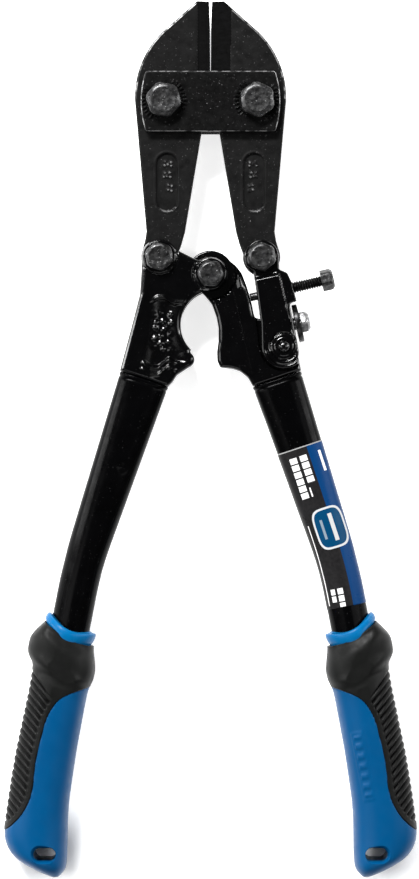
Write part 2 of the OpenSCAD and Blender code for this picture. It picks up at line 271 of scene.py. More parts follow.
def rework(node, body, material, width=0.3, segments=2, angle=28):
    """Copy of a CAD node with bevelled edges, which stands for it."""
    bm = bmesh.new()
    bm.from_mesh(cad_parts[node].data)
    bmesh.ops.remove_doubles(bm, verts=bm.verts, dist=2e-6)
    bmesh.ops.dissolve_limit(bm, angle_limit=math.radians(1), verts=bm.verts, edges=bm.edges)
    hard = [e for e in bm.edges if len(e.link_faces) == 2 and e.calc_face_angle(0) > math.radians(angle)]
    bmesh.ops.bevel(bm, geom=hard, offset=width * MM, segments=segments, profile=0.6, affect="EDGES",
                    clamp_overlap=True)
    for f in bm.faces:
        f.material_index = 0
    return finish_piece(node + "_look", bm, material, body, (node,), 40)


def lathe(name, profile, at, material, body, stands_for=(), n=64):
    """Round piece about a vertical axis from (radius, height) pairs that begin and end on the axis."""
    verts = [(at[0], at[1], profile[0][1])]
    faces = []
    turns = [2 * math.pi * i / n for i in range(n)]
    for r, z in profile[1:-1]:
        verts += [(at[0] + r * math.cos(turn), at[1] + r * math.sin(turn), z) for turn in turns]
    verts.append((at[0], at[1], profile[-1][1]))
    for i in range(n):
        j = (i + 1) % n
        faces.append((0, 1 + i, 1 + j))
        for k in range(len(profile) - 3):
            a = 1 + k * n
            faces.append((a + i, a + n + i, a + n + j, a + j))
        a = 1 + (len(profile) - 3) * n
        faces.append((a + i, len(verts) - 1, a + j))
    return piece(name, verts, faces, material, body, stands_for)


def skin(rows, cols, point, closed=True, caps=True):
    """Grid of rows by cols points. A closed grid joins its last column to its first. Caps close its ends."""
    verts = [point(i, j) for i in range(rows) for j in range(cols)]
    faces = []
    for i in range(rows - 1):
        for j in range(cols if closed else cols - 1):
            k = (j + 1) % cols
            faces.append((i * cols + j, i * cols + k, (i + 1) * cols + k, (i + 1) * cols + j))
    if caps:
        faces.append(tuple(range(cols)))
        faces.append(tuple(reversed(range((rows - 1) * cols, rows * cols))))
    return verts, faces


# ---------------------------------------------------------------- materials

def grey(value):
    return (value, value, value)


class Look:
    """Small helper to wire one procedural material."""

    def __init__(self, name, color, rough, metal=0.0, spec=0.5, coat=0.0):
        self.material = bpy.data.materials.new(name)
        self.material.use_nodes = True
        self.tree = self.material.node_tree
        self.shader = self.tree.nodes["Principled BSDF"]
        self.coords = self.tree.nodes.new("ShaderNodeTexCoord")
        self.shader.inputs["Base Color"].default_value = (*color, 1)
        self.shader.inputs["Roughness"].default_value = rough
        self.shader.inputs["Metallic"].default_value = metal
        self.shader.inputs["Specular IOR Level"].default_value = spec
        self.shader.inputs["Coat Weight"].default_value = coat
        self.normal = None

    def link(self, a, b):
        self.tree.links.new(a, b)

    def noise(self, scale, detail=4.0, rough=0.6, stretch=None):
        node = self.tree.nodes.new("ShaderNodeTexNoise")
        node.inputs["Scale"].default_value = scale
        node.inputs["Detail"].default_value = detail
        node.inputs["Roughness"].default_value = rough
        if stretch:
            mapping = self.tree.nodes.new("ShaderNodeMapping")
            mapping.inputs["Scale"].default_value = stretch
            self.link(self.coords.outputs["Object"], mapping.inputs["Vector"])
            self.link(mapping.outputs["Vector"], node.inputs["Vector"])
        else:
            self.link(self.coords.outputs["Object"], node.inputs["Vector"])
        return node.outputs["Fac"]

    def ramp(self, value, low, high, out_low, out_high):
        node = self.tree.nodes.new("ShaderNodeMapRange")
        node.inputs["From Min"].default_value = low
        node.inputs["From Max"].default_value = high
        node.inputs["To Min"].default_value = out_low
        node.inputs["To Max"].default_value = out_high
        self.link(value, node.inputs["Value"])
        return node.outputs["Result"]

    def mix(self, factor, a, b):
        node = self.tree.nodes.new("ShaderNodeMix")
        node.data_type = "RGBA"
        self.link(factor, node.inputs["Factor"])
        for value, socket in ((a, node.inputs["A"]), (b, node.inputs["B"])):
            if isinstance(value, tuple):
                socket.default_value = (*value, 1)
            else:
                self.link(value, socket)
        return node.outputs["Result"]

    def math(self, kind, a, b):
        node = self.tree.nodes.new("ShaderNodeMath")
        node.operation = kind
        for value, socket in ((a, node.inputs[0]), (b, node.inputs[1])):
            if isinstance(value, (int, float)):
                socket.default_value = value
            else:
                self.link(value, socket)
        return node.outputs["Value"]

    def bump(self, height, strength, distance):
        node = self.tree.nodes.new("ShaderNodeBump")
        node.inputs["Strength"].default_value = strength
        node.inputs["Distance"].default_value = distance * MM
        self.link(height, node.inputs["Height"])
        if self.normal is not None:
            self.link(self.normal, node.inputs["Normal"])
        self.normal = node.outputs["Normal"]
        self.link(self.normal, self.shader.inputs["Normal"])

    def color(self, value):
        self.link(value, self.shader.inputs["Base Color"])

    def rough(self, value):
        self.link(value, self.shader.inputs["Roughness"])


def oxide(name, dark, light, speck, rough, spec):
    """Black-oxide forging: mottled, with pale specks and fine pits."""
    look = Look(name, dark, rough, spec=spec)
    mottle = look.ramp(look.noise(260, 5), 0.35, 0.7, 0, 1)
    specks = look.ramp(look.noise(1500, 2), 0.68, 0.76, 0, 1)
    look.color(look.mix(specks, look.mix(mottle, dark, light), speck))
    look.rough(look.ramp(look.noise(420, 4), 0.3, 0.7, rough - 0.08, rough + 0.12))
    look.bump(look.noise(900, 4), 0.35, 0.12)
    look.bump(look.noise(180, 3), 0.25, 0.3)
    return look.material


def ground_steel():
    """Ground bevel with fine lines across the edge."""
    look = Look("ground_bevel", (0.02, 0.02, 0.021), 0.4, spec=0.02)
    lines = look.noise(900, 3, stretch=(0.15, 1, 1))
    look.color(look.mix(look.ramp(lines, 0.3, 0.7, 0, 1), grey(0.0006), (0.0020, 0.0020, 0.0021)))
    look.rough(look.ramp(lines, 0.3, 0.7, 0.34, 0.5))
    look.bump(lines, 0.2, 0.05)
    return look.material


def hardware(name, dark, light, rough):
    """Plain grey fasteners with a rough-forged face and small bright nicks."""
    look = Look(name, dark, rough, metal=1.0)
    grain = look.ramp(look.noise(700, 5), 0.35, 0.7, 0, 1)
    nicks = look.ramp(look.noise(1300, 2), 0.66, 0.72, 0, 1)
    look.color(look.mix(nicks, look.mix(grain, dark, light), grey(0.4)))
    look.rough(look.ramp(look.noise(500, 4), 0.3, 0.7, rough - 0.06, rough + 0.16))
    look.bump(look.noise(600, 4), 0.4, 0.15)
    look.bump(look.noise(190, 2), 0.7, 0.6)
    return look.material


def worn_rim_and_highlight():
    """Edge where the black finish is rubbed through to bright steel in patches. Its bright colour also serves
    as a painted highlight where edges and raised marks catch the light.
    """
    look = Look("worn_rim_and_highlight", grey(0.1), 0.38, metal=0.6)
    patches = look.ramp(look.noise(330, 5), 0.45, 0.56, 0, 1)
    look.color(look.mix(patches, grey(0.01), grey(0.2)))
    look.rough(look.ramp(look.noise(600, 3), 0.3, 0.7, 0.3, 0.5))
    look.bump(look.noise(900, 3), 0.3, 0.1)
    return look.material


def black_paint(name, color, rough, spec, coat, peel):
    """Black paint: slight orange peel, dust specks and uneven gloss."""
    look = Look(name, color, rough, spec=spec, coat=coat)
    look.shader.inputs["Coat Roughness"].default_value = 0.1
    specks = look.ramp(look.noise(1900, 1), 0.74, 0.79, 0, 0.7)
    cloud = look.ramp(look.noise(60, 3), 0.3, 0.7, 0, 1)
    look.color(look.mix(specks, look.mix(cloud, color, tuple(c * 1.6 for c in color)), grey(0.05)))
    look.rough(look.ramp(look.noise(240, 4), 0.3, 0.7, rough - 0.04, rough + 0.06))
    look.bump(look.noise(330, 2), peel, 0.12)
    return look.material


def plastic(name, color, deep, rough):
    """Moulded plastic or rubber with a fine grain and light scuffs."""
    look = Look(name, color, rough, spec=0.08)
    cloud = look.ramp(look.noise(45, 3), 0.3, 0.7, 0, 1)
    scuff = look.ramp(look.noise(500, 3, stretch=(1, 0.2, 1)), 0.66, 0.78, 0, 0.35)
    look.color(look.mix(scuff, look.mix(cloud, deep, color), tuple(c * 1.4 + 0.001 for c in color)))
    look.rough(look.ramp(look.noise(300, 4), 0.3, 0.7, rough - 0.06, rough + 0.1))
    look.bump(look.noise(1400, 2), 0.18, 0.05)
    return look.material


LABEL_BLUE_FROM = 2.6                                 # across the label, in mm from the tube's centre line
LABEL_BARS = ((-1.4, 1.5, 2.9, 14.5), (-5.6, -2.7, 2.9, 20.3), (-5.2, -3.6, 58, 63.8), (-2.6, -0.4, 58, 66))
LABEL_LINES = ((6.4, 7.4, 3.5, 12), (-6.9, -6.6, 31, 65), (-1.6, -1.1, 16.5, 20.3))
LABEL_BAR_PITCH = 2.9
BADGE = (1.5, 34.2)
BADGE_BARS = (((1.9, 3.5, 28.6, 39.8), grey(0.4)), ((-1.9, -0.9, 30.2, 38.2), (0.16, 0.2, 0.24)))


def printed_film():
    """Label: black with a blue stripe, plain bars and a plain badge.

    It is laid out in millimetres on its UV map. A box is (across from, across to, along from, along to)."""
    look = Look("label_print", grey(0.02), 0.26, spec=0.04)
    split = look.tree.nodes.new("ShaderNodeSeparateXYZ")
    look.link(look.coords.outputs["UV"], split.inputs["Vector"])
    across, along = split.outputs["X"], split.outputs["Y"]

    def band(value, low, high):
        above = look.math("GREATER_THAN", value, low)
        return look.math("MULTIPLY", above, look.math("LESS_THAN", value, high))

    def box(a0, a1, l0, l1):
        return look.math("MULTIPLY", band(across, a0, a1), band(along, l0, l1))

    def reach(value, centre, half):
        away = look.math("ABSOLUTE", look.math("SUBTRACT", value, centre), 0)
        return look.math("POWER", look.math("DIVIDE", away, half), 4)

    def badge(half_a, half_l):
        return look.math("LESS_THAN", look.math("ADD", reach(across, BADGE[0], half_a),
                                                reach(along, BADGE[1], half_l)), 1)

    grain = look.ramp(look.noise(700, 3), 0.3, 0.7, 0, 1)
    ink = look.mix(grain, (0.008, 0.0078, 0.0082), (0.013, 0.0125, 0.013))
    ink = look.mix(band(across, LABEL_BLUE_FROM, 20), ink, (0.0005, 0.028, 0.105))
    rows = look.math("FRACT", look.math("DIVIDE", along, LABEL_BAR_PITCH), 0)
    gaps = look.math("GREATER_THAN", rows, 0.2)
    white = look.math("MULTIPLY", box(*LABEL_BARS[0]), gaps)
    for bar in LABEL_BARS[1:]:
        white = look.math("MAXIMUM", white, look.math("MULTIPLY", box(*bar), gaps))
    for line in LABEL_LINES:
        white = look.math("MAXIMUM", white, box(*line))
    ink = look.mix(white, ink, grey(0.66))
    ink = look.mix(badge(6.2, 8.4), ink, (0.42, 0.43, 0.44))
    ink = look.mix(badge(5.5, 7.6), ink, (0.001, 0.035, 0.09))
    for bar, color in BADGE_BARS:
        ink = look.mix(box(*bar), ink, color)
    ink = look.mix(look.math("LESS_THAN", along, 0.45), ink, grey(0.2))
    look.color(ink)
    look.rough(look.ramp(look.noise(200, 3), 0.3, 0.7, 0.24, 0.4))
    look.bump(look.noise(500, 2), 0.08, 0.05)
    return look.material


def floor_look():
    """White sheet that glows softly as a painted light from below, except under the two hanging slots, which
    it leaves in shade. Its places are in metres.
    """
    look = Look("floor_white", grey(0.86), 0.75, spec=0.1)
    look.color(look.mix(look.ramp(look.noise(6, 3), 0.3, 0.7, 0, 1), grey(0.85), grey(0.88)))
    look.rough(look.ramp(look.noise(40, 3), 0.3, 0.7, 0.7, 0.85))
    place = look.coords.outputs["Object"]
    split = look.tree.nodes.new("ShaderNodeSeparateXYZ")
    look.link(place, split.inputs["Vector"])
    length = look.tree.nodes.new("ShaderNodeVectorMath")
    length.operation = "LENGTH"
    look.link(place, length.inputs[0])
    from_middle = length.outputs["Value"]
    out = look.math("SUBTRACT", look.math("ABSOLUTE", split.outputs["X"], 0), SLOT[0] * MM)
    down = look.math("SUBTRACT", split.outputs["Y"], SLOT[1] * MM)
    squares = look.math("ADD", look.math("POWER", out, 2), look.math("POWER", down, 2))
    # The glow washes out the tool's shadows on the floor. It fades to nothing near the hanging slots so that
    # they stay dark.
    near = look.ramp(look.math("SQRT", squares, 0), 0.009, 0.02, 0, 0.72)
    far = look.ramp(from_middle, 0.4, 1.0, 0, 1.0)
    dim = look.ramp(from_middle, 3.0, 6.0, 1.0, 0.45)
    look.shader.inputs["Emission Color"].default_value = (1, 1, 1, 1)
    glow = look.math("MULTIPLY", look.math("MAXIMUM", near, far), dim)
    look.link(glow, look.shader.inputs["Emission Strength"])
    return look.material


JAW = oxide("jaw_oxide", grey(0.0028), grey(0.006), grey(0.1), 0.42, 0.07)
BEVEL = ground_steel()
RIM_AND_HIGHLIGHT = worn_rim_and_highlight()
STRAP = oxide("strap_oxide", grey(0.0012), grey(0.0028), grey(0.09), 0.38, 0.07)
BOLT = hardware("bolt_grey", (0.026, 0.026, 0.027), grey(0.075), 0.34)
DARK_BOLT = hardware("bolt_black", (0.02, 0.02, 0.021), grey(0.05), 0.28)
LOCK = hardware("lock_bolt_steel", (0.10, 0.10, 0.103), grey(0.24), 0.28)
DOME = hardware("rivet_black", (0.03, 0.03, 0.031), grey(0.05), 0.14)
GLOSS = black_paint("gloss_black", (0.0004, 0.0004, 0.0005), 0.16, 0.14, 0.35, 0.06)
SATIN = black_paint("satin_black", (0.0006, 0.0006, 0.0007), 0.2, 0.03, 0.0, 0.1)
BLUE = plastic("grip_blue", (0.0001, 0.0535, 0.151), (0.0001, 0.046, 0.133), 0.34)
RING = plastic("collar_blue", (0.0005, 0.094, 0.24), (0.0005, 0.08, 0.21), 0.28)
RUBBER = plastic("grip_rubber", (0.0055, 0.0057, 0.0055), (0.0040, 0.0042, 0.0040), 0.42)
# Darker rubber for the bottoms of the grooves: painted shade.
PAINTED_GROOVE_SHADE = plastic("rubber_groove_painted_shade", grey(0.0010), grey(0.0007), 0.6)
FILM = printed_film()


# ---------------------------------------------------------------- jaws

TIP_Y = 174.8
GROUND_FROM = JAW_BOLT[1] + 5
BEVEL_WIDTH = {"left": 5.0, "right": 8.0}
RECESS = ((17.4, 95), (17.4, 109.8))
DOTS = ((18.2, 110.6), (17.0, 109.6), (15.8, 110.4), (18.4, 109.2), (15.6, 109.0), (18.2, 106.2),
        (17.3, 104.8), (16.3, 106.3), (16.0, 104.6), (18.6, 104.7), (16.8, 101.4), (15.4, 101.0),
        (16.9, 99.5), (15.5, 99.1))


def edge_x(y):
    """Place of the cutting edge, which leans a little away from the middle towards the tip."""
    return 0.025 + math.tan(math.radians(0.4)) * (y - JAW_BOLT[1])


def jaw_outline():
    hub = (30.2 - 36, JAW_BOLT[1] + 1.7)
    tip = [(edge_x(TIP_Y) + 0.3, TIP_Y), (5.4, TIP_Y)]
    arm = [(11.7, 77.5), (10.2, 82.8), (7, 102), (3.8, 121.2)]
    edge = [(edge_x(139), 139), (edge_x(TIP_Y - 8), TIP_Y - 8)]
    return (tip + arc(hub, 36, 48.6, -3, 30) + [(25.6, 82.8), (26.2, 79)] + arc(PIVOT, 7.4, 20, -190, 30)
            + arm + edge)


def jaw(side):
    """Forged jaw: ground bevel at the edge, recess with raised dots in the arm. Its upper outer rim, the dots
    and the lower edge of the recess carry painted highlights.
    """
    width = BEVEL_WIDTH[side]

    def wall(x, y, d):
        z = JAW_HALF - rounded(d, 0.8)
        ground = 1 + 3 * np.clip((x - edge_x(y)) / width, 0, 1)
        return np.where(y > GROUND_FROM, np.minimum(z, ground), z)

    def top(x, y, d):
        recess = away_from(x, y, *RECESS) - 4.3
        z = MID + wall(x, y, d) - 1.0 * (1 - smooth(-0.5, 0.15, recess)) + 0.12 * bump(recess - 0.5, 0.4)
        for dot in DOTS:
            z = z + 0.8 * bump(away_from(x, y, dot), 0.45)
        return z

    def number_of(x, y, d):
        ground = (y > GROUND_FROM) & (x - edge_x(y) < width * 0.99)
        # The upper arcs of the outer edge take the bright rim material: partly wear, partly a painted
        # highlight where they catch the light.
        rim = (d > 0.3) & (d < 0.8) & (x > width + 0.6) & (y > 136)
        # The raised dots take it too, as painted highlights on their tops.
        for dot in DOTS:
            rim = rim | (away_from(x, y, dot) < 0.42)
        # The lower edge of the recess, whose wall faces the light, takes it as a painted highlight.
        recess = away_from(x, y, *RECESS) - 4.3
        rim = rim | ((np.abs(recess + 0.15) < 0.3) & (y < 92.6))
        return np.where(ground, 1, np.where(rim, 2, 0))

    node = "jaw_" + side
    relief(node + "_look", jaw_outline(), top, lambda x, y, d: MID - wall(x, y, d), JAW, node, (node,),
           step=1.0, fine=((12, 89, 22.8, 115.6, 0.3), (-1, 145, width + 1.4, 176, 0.7)), soften=0,
           left=side == "left", sharp=30, number_of=number_of, extra=(BEVEL, RIM_AND_HIGHLIGHT))


# ---------------------------------------------------------------- strap plates

def strap_outline():
    """Plate with level long sides and slightly bowed ends."""
    half, bow, reach = 12.1, 2.0, 27.8
    r = (bow * bow + half * half) / (2 * bow)
    sweep = math.degrees(math.asin(half / r))
    c = reach - r
    y = JAW_BOLT[1] - 0.4
    return arc((c, y), r, -sweep, sweep, 20) + arc((-c, y), r, 180 - sweep, 180 + sweep, 20)


def strap():
    """Front plate with a ring of pressed teeth round each bolt. Its edge is painted bright, partly as rubbed
    wear and partly as a painted highlight.
    """
    def top(x, y, d):
        z = PLATE_TOP - rounded(d, 0.7)
        for s in (-1, 1):
            dx, dy = x - s * JAW_BOLT[0], y - JAW_BOLT[1]
            r, turn = np.hypot(dx, dy), np.arctan2(dy, dx)
            teeth = smooth(0.0, 0.8, np.cos(34 * turn)) * smooth(-0.6, 0.4, np.cos(2 * turn + 0.4 * s))
            z = z + 0.7 * teeth * smooth(7.2, 7.7, r) * (1 - smooth(8.9, 9.4, r))
        return z

    # The band along the whole edge takes the bright rim material: partly wear, partly a painted highlight
    # where the edge catches the light.
    relief("strap_front_look", strap_outline(), top, level(PLATE_TOP - PLATE), STRAP, "strap",
           ("strap_front",), step=1.0,
           fine=((-28.4, 125, -8.8, 144.8, 0.28), (8.8, 125, 28.4, 144.8, 0.28)), soften=2,
           number_of=lambda x, y, d: (d > 0.05) & (d < 0.4), extra=(RIM_AND_HIGHLIGHT,))


# ---------------------------------------------------------------- left head

CREST = ((-10, 53.6), (-13.8, 53.8), (-15.4, 54.2), (-18.2, 56.0), (-21.4, 56.0), (-23.8, 54.0), (-27, 52.5))
FOOT = ((-12, 30.0), (-14.5, 30.7), (-16.6, 31.9), (-18.6, 30.2), (-20.6, 28.5), (-24.2, 28.7), (-26.8, 30.7),
        (-29, 32))


def eased(table, step=0.5, rounds=14):
    """Table of pairs, the first of each falling, as a smooth function of the first."""
    along, across = zip(*table)
    at = np.arange(along[-1], along[0] + step, step)
    value = np.interp(at, along[::-1], across[::-1])
    for _ in range(rounds):
        value[1:-1] = 0.5 * value[1:-1] + 0.25 * (value[2:] + value[:-2])
    return lambda v: np.interp(v, at, value)


def left_head_outline():
    pivot = (-PIVOT[0], PIVOT[1])
    return (arc(pivot, 7.2, 195, 25, 30) + [(-10.6, 74.0), (-7.4, 72.4)] + arc(CENTRE, 7, 130, -112, 36)
            + arc((1.9, 45.5), 13.8, 112, 224, 30) + arc((-9.6, 31.6), 3.2, 60, -70, 12)
            + [(-13.4, 25.4), (-15.2, 22.6), (-17, 20.8), (-36.2, 27.2), (-31.6, 44.4), (-28.2, 57.6)])


def left_head():
    """Front plate with a pressed panel: a ridge above it, two waves below and pebbles between."""
    pebbles = []
    for row in range(6):
        for column in range(3):
            x = -21.8 + 2.6 * column + RNG.uniform(-0.8, 0.8)
            y = 49.4 - 2.6 * row + RNG.uniform(-0.9, 0.9)
            pebbles.append((x, y, RNG.uniform(0.7, 1.2), RNG.uniform(0.3, 0.95)))
    crest_line, foot_line = eased(CREST, 0.25, 6), eased(FOOT, 0.25, 4)

    def top(x, y, d):
        z = PLATE_TOP - rounded(d, 2.0)
        crest, foot = crest_line(x), foot_line(x)
        wall = np.interp(y, (28, 43.6, 51.6, 57), (-28.6, -25.6, -24.6, -24.4))
        panel = (smooth(0, 1.2, crest - y) * smooth(0, 1.2, y - foot) * smooth(0, 6, x - wall)
                 * smooth(0.5, 7, d))
        across = smooth(0, 2.2, x - wall) * smooth(0.6, 1.6, d)
        z = z - 0.9 * panel + 0.5 * across * bump(y - crest - 0.5, 0.75)
        waves = 0.7 * bump(y - foot + 0.3, 0.7) + 0.65 * bump(y - foot + 2.9, 0.75)
        z = z + across * waves * smooth(-13.2, -14.6, x)
        for px, py, size, high in pebbles:
            z = z + smooth(0, 0.3, panel) * high * bump(away_from(x, y, (px, py)), size)
        for at, r in (((-PIVOT[0], PIVOT[1]), 6.9), (CENTRE, 6.7)):
            rho = away_from(x, y, at)
            seat = 1 - smooth(r - 0.7, r, rho)
            z = z * (1 - seat) + seat * BOLT_SEAT
            z = z - 0.35 * bump(rho - r - 0.35, 0.3)
        return z

    relief("left_head_front_look", left_head_outline(), top, level(PLATE_TOP - PLATE), GLOSS, "handle_left",
           ("left_head_front",), step=0.5, fine=((-30, 25, -10, 59, 0.27),), soften=3)
    rework("left_head_back", "handle_left", GLOSS, 0.8, 3)
    rework("left_head_core", "handle_left", GLOSS, 0.15, 1)


# ---------------------------------------------------------------- right head and link

def right_head_outline():
    outer = [(10.4, 68.8), (12.6, 65.8), (14.4, 61), (15.4, 57.6), (16.4, 54), (17, 50.8), (17.6, 48.4),
             (20.4, 47.8), (27.6, 51), (29, 49), (29.6, 40.4), (33.2, 39.2), (34.6, 36), (35.4, 31),
             (36.2, 27.2)]
    inner = [(17, 20.8), (15, 24.4), (11.8, 27), (8.6, 28), (3.9, 28.4), (2.7, 31), (2.6, 34.8), (3.2, 39),
             (3.2, 44.4), (2.4, 48.6), (0.6, 53.6), (-2.2, 57.2), (-5.6, 60.2)]
    return arc(CENTRE, 9.4, 200, 35, 36) + outer + inner


def right_head():
    """Forging with a thin eye, a thin place under the link and a bright crease beside the eye."""
    def half(x, y, d):
        eye = away_from(x, y, CENTRE)
        body = smooth(9.7, 10.7, eye) * (1 - (1 - smooth(5.4, 6.2, x)) * smooth(56.2, 57, y))
        left_of_link = 16.9 + (60 - y) * 2.6 / 23.2
        pocket = np.minimum(away_from(x, y, RIVET) - 9.4, np.maximum(left_of_link - x, RIVET[1] - y))
        thick = HEAD_HALF - rounded(d, 1.7)
        beyond = (x - 9.6) * 0.975 + (y - 56.5) * 0.224
        thick = thick - 0.14 * smooth(-0.25, 0.25, beyond) * smooth(22, 26, y)
        thick = thick + 0.6 * bump(away_from(x, y, (10.8, 67.0), (12.0, 60.6)), 0.9) * smooth(0.2, 1.4, d)
        thin = JAW_HALF - rounded(d, 0.8)
        return thin + (thick - thin) * body * smooth(-0.05, 0.12, pocket)

    relief("right_head_look", right_head_outline(), lambda x, y, d: MID + half(x, y, d),
           lambda x, y, d: MID - half(x, y, d), GLOSS, "handle_right", ("right_head",), step=0.45, soften=3)


BLOCK = [(30.6, 66.2), (32.4, 62.4), (34.4, 54.9), (31.7, 54.3), (31.8, 52.8)]    # round the screw's block


def link_outline():
    return ([(17.2, 67.0)] + arc(PIVOT, 6.8, 213, 0, 30) + [(27.4, 67.6)] + BLOCK
            + [(34.6, 38.4), (35.2, 34.6)] + arc(RIVET, 8.8, -50, -180, 24) + [(20.2, 46), (18.7, 57)])


def link():
    """Two walls and the web between them. The front wall is raised below a step and ringed at the rivet."""
    def front(x, y, d):
        step = y - (64.8 + (x - 18.2) * 0.217)
        side = np.interp(y, (38.4, 54, 67), (33.9, 30.2, 27.2)) - x
        raised = smooth(-0.2, 2.0, -step) * smooth(-0.1, 0.4, np.where(y > 38.4, side, 2))
        z = LINK_FRONT - rounded(d, 0.7) + 1.2 * raised
        rho = away_from(x, y, RIVET)
        z = z - 0.5 * bump(rho - 5.4, 0.35) - 0.45 * bump(rho - 7.2, 0.35) * smooth(37, 34, y)
        boss = away_from(x, y, PIVOT)
        return z - 0.25 * bump(boss - 5.9, 0.3)

    front_inner, back_inner = LINK_FRONT - LINK_WALL, LINK_BACK + LINK_WALL
    relief("link_front_look", link_outline(), front, level(front_inner), GLOSS, "link", ("adjusting_link",),
           step=0.36, soften=2)
    relief("link_back_look", link_outline(), level(back_inner), lambda x, y, d: LINK_BACK + rounded(d, 1.0),
           GLOSS, "link", step=1.0, soften=2)
    web = [(28.8, 66)] + BLOCK + [(34.2, 41.2), (31, 41.2), (29.8, 51), (30.2, 56), (28.8, 61)]
    relief("link_web_look", web, level(front_inner + 0.3), level(back_inner - 0.3), GLOSS, "link", step=1.0,
           soften=1)
    rivet = [(0, 21.5), (2.4, 21.5), (3.0, 21.6), (3.5, 21.55), (3.9, 21.3), (4.0, 20.8), (3, 20.6), (3, 5.8),
             (4.2, 5.6), (4.2, 5.2), (3, 4.7), (0, 4.5)]
    dome = [(0, 23.4), (0.7, 23.34), (1.3, 23.15), (1.8, 22.8), (2.2, 22.3), (2.45, 21.6), (2.5, 21.3),
            (0, 21.2)]
    lathe("link_rivet_look", rivet, RIVET, GLOSS, "link", ("link_rivet",))
    lathe("link_rivet_dome", dome, RIVET, DOME, "link")


# ---------------------------------------------------------------- screws

def along_screw(at, lean=12.9):
    """Places points whose z runs along the screw, outwards to the right and a little up."""
    c, s = math.cos(math.radians(lean)), math.sin(math.radians(lean))

    def place(x, y, z):
        return (at[0] + z * c - y * s, at[1] + z * s + y * c, MID + x)
    return place


def adjusting_screw():
    """Threaded shank with a plain narrow point and a hex head."""
    place = along_screw((16.75, 56.8))
    pitch, tip, length, cols = 1.0, -0.9, 28.3, 28
    outer, depth, point_end, plain_to = 2.48, 0.75, 2.6, 19.2
    rows = round((length - tip) / (pitch / 9))

    def point(i, j):
        z, turn = tip + (length - tip) * i / (rows - 1), 2 * math.pi * j / cols
        phase = (z / pitch - j / cols) % 1
        r = outer - depth * abs(2 * phase - 1) ** 1.1
        if z < point_end:
            r = min(r, 1.6 + 0.9 * max(0, z - 1.9) - 0.4 * max(0, tip + 0.4 - z))
        return place(r * math.cos(turn), r * math.sin(turn), z)

    verts, faces = skin(rows, cols, point)
    obj = piece("adjusting_screw_thread", verts, faces, DARK_BOLT, "adjusting_screw", ("adjusting_screw",),
                sharp=60)
    obj.data.materials.append(BOLT)
    for polygon in obj.data.polygons:
        if polygon.center.x < plain_to * MM:
            polygon.material_index = 1
    hex_head("adjusting_screw_head", place, length, 8, 5, BOLT, "adjusting_screw", 8)


HEX_CHAMFER = ((1.7, 1.0, 0), (1.15, 1.0, 0.15), (0.75, 0.985, 0.6), (0.48, 0.94, 0.95), (0.27, 0.885, 1.0),
               (0.1, 0.83, 1.0), (0, 0.78, 1.0), (0, 0.72, 1.0), (0.06, 0.66, 1.0), (0.06, 0.3, 1.0))


def hex_head(name, place, base, flats, height, material, body, turn):
    """Hex head with a wide rounded chamfer, given as (drop from the top, size, roundness)."""
    cols = 120
    r = flats / 2
    rings = [(0.0, 1.0, 0)] + [(height - drop, out, roundness) for drop, out, roundness in HEX_CHAMFER]

    def point(i, j):
        z, out, roundness = rings[i]
        t = 2 * math.pi * j / cols
        sector = (t + math.pi / 6) % (math.pi / 3) - math.pi / 6
        hexagon = min(r / math.cos(sector), r * 1.08)
        a = t + math.radians(turn)
        at = (hexagon * (1 - roundness) + r * roundness) * out
        return place(at * math.cos(a), at * math.sin(a), base + z)

    verts, faces = skin(len(rings), cols, point)
    piece(name, verts, faces, material, body, sharp=28)


def upright(at):
    """Places points whose z runs straight up."""
    return lambda x, y, z: (at[0] + x, at[1] + y, z)


def bolts():
    """Front heads and shanks in full detail, and the nuts, washer and lock bolt as the CAD has them."""
    heads = (("jaw_bolt_left", "strap", (-JAW_BOLT[0], JAW_BOLT[1]), 4.0, 13, PLATE_TOP, 5.3, 18),
             ("jaw_bolt_right", "strap", tuple(JAW_BOLT), 4.0, 13, PLATE_TOP, 5.3, 5),
             ("pivot_bolt_left", "handle_left", (-PIVOT[0], PIVOT[1]), 3.0, 10.6, BOLT_SEAT, 4.0, 12),
             ("pivot_bolt_right", "link", tuple(PIVOT), 3.0, 10.6, LINK_FRONT, 4.0, 8),
             ("centre_bolt", "handle_left", tuple(CENTRE), 3.0, 10, BOLT_SEAT, 4.0, 25))
    for node, body, at, pin, flats, seat, height, turn in heads:
        shank = [(0, seat + 0.2), (pin, seat + 0.2), (pin, 1.0), (pin - 0.4, 0.6), (0, 0.6)]
        lathe(node + "_shank", shank, at, BOLT, body, (node,), n=32)
        hex_head(node + "_head", upright(at), seat, flats, height, BOLT, body, turn)
    nuts = (("jaw_nut_left", "strap"), ("jaw_nut_right", "strap"), ("pivot_nut_left", "handle_left"),
            ("centre_nut", "handle_left"), ("pivot_nut_right", "link"))
    for node, body in nuts:
        rework(node, body, BOLT, 0.2, 2)
    rework("lock_washer", "handle_right", DARK_BOLT, 0.2, 2)
    rework("lock_bolt", "lock_bolt", LOCK, 0.3, 2)


# ---------------------------------------------------------------- tubes and label

UPPER_LEN = float(np.hypot(*(TUBE_BEND - TUBE_TOP)))
UPPER = (TUBE_BEND - TUBE_TOP) / UPPER_LEN
LOWER_LEN = 100
LOWER = np.array([math.sin(LOWER_LEAN), -math.cos(LOWER_LEAN)])
BEND_EASE = 12.0      # half the length of the bend
TUBE_R = 7.9
DIMPLE = (35.0, -11.2)


